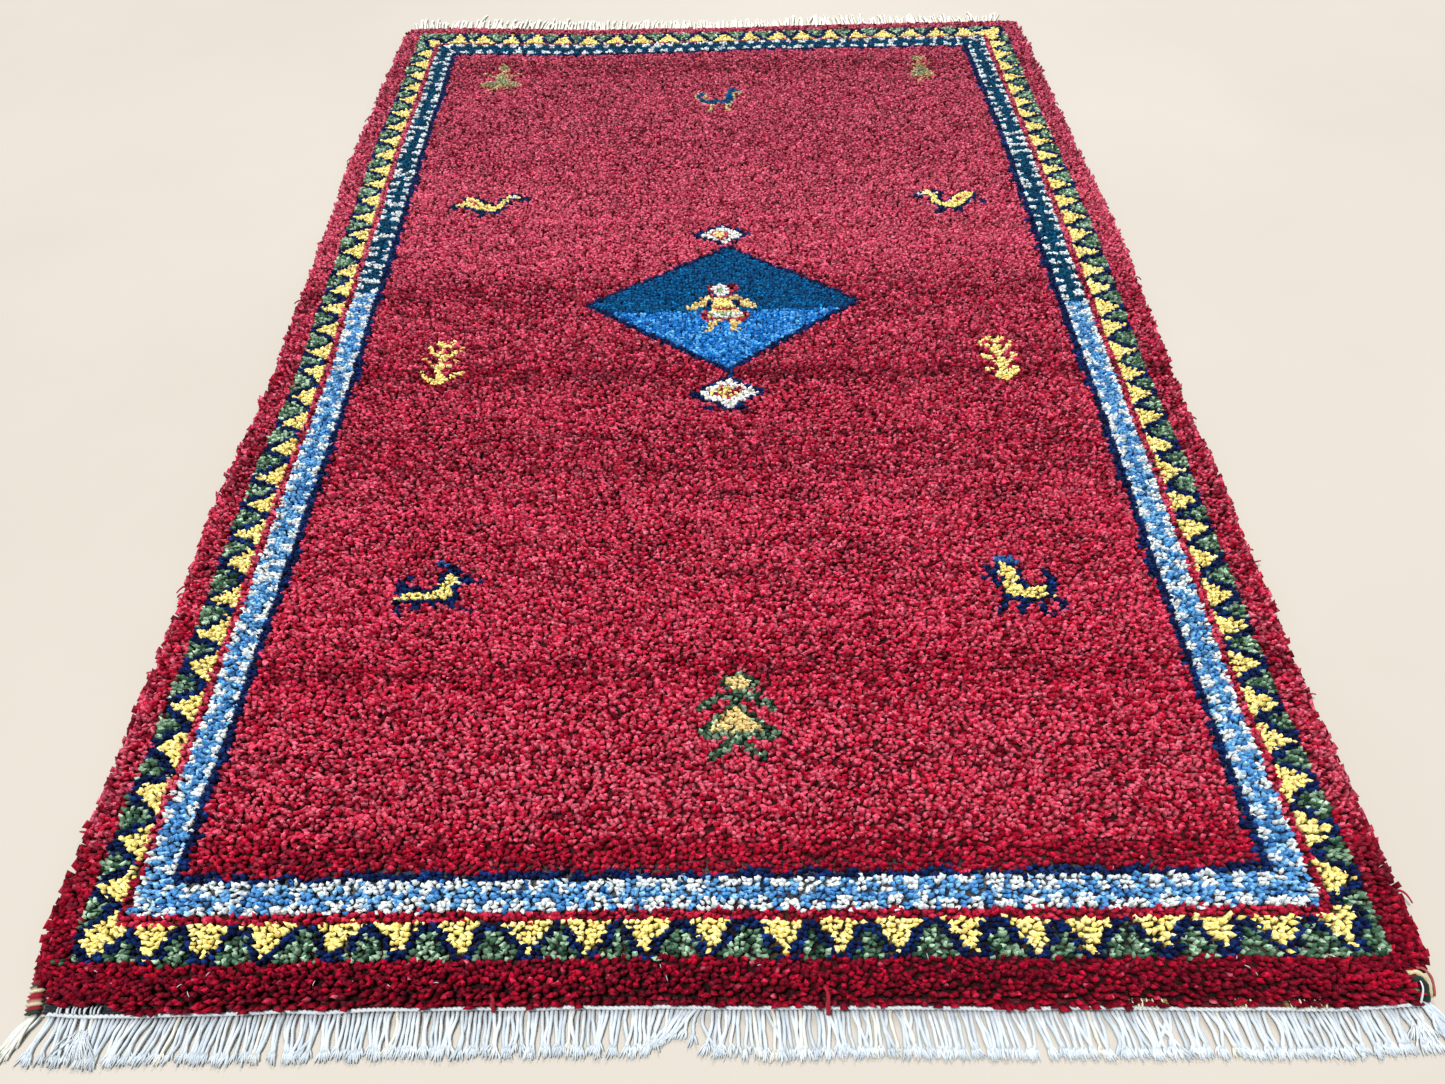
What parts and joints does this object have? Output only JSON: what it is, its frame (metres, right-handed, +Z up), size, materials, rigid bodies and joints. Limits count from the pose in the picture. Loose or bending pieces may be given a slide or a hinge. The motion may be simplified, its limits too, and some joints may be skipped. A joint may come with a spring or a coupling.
{
  "type": "gabbeh rug",
  "caption": "Hand-knotted wool gabbeh rug lying flat, with a thick shaggy pile, overcast side cords, twined end cords and a cotton fringe at both ends.",
  "frame": {"origin": "on the floor plane, under the middle of the knotted pile", "axes": "+Z up out of the pile, +Y along the rug to its back end, +X across the rug to the right"},
  "size_m": [1.012, 1.6343, 0.015],
  "materials": {
    "wool_pile": "hand-knotted wool pile, crimson with a sawtooth border and small woven figures",
    "selvedge_wool": "wool overcasting in red, dark green and beige",
    "cotton": "twisted undyed cotton warp"
  },
  "bodies": {
    "root": {"rug_pile": "wool_pile", "selvedge_left": "selvedge_wool", "selvedge_right": "selvedge_wool", "end_cord_front": "cotton", "end_cord_back": "cotton", "fringe_front": "cotton", "fringe_back": "cotton"}
  },
  "joints": []
}
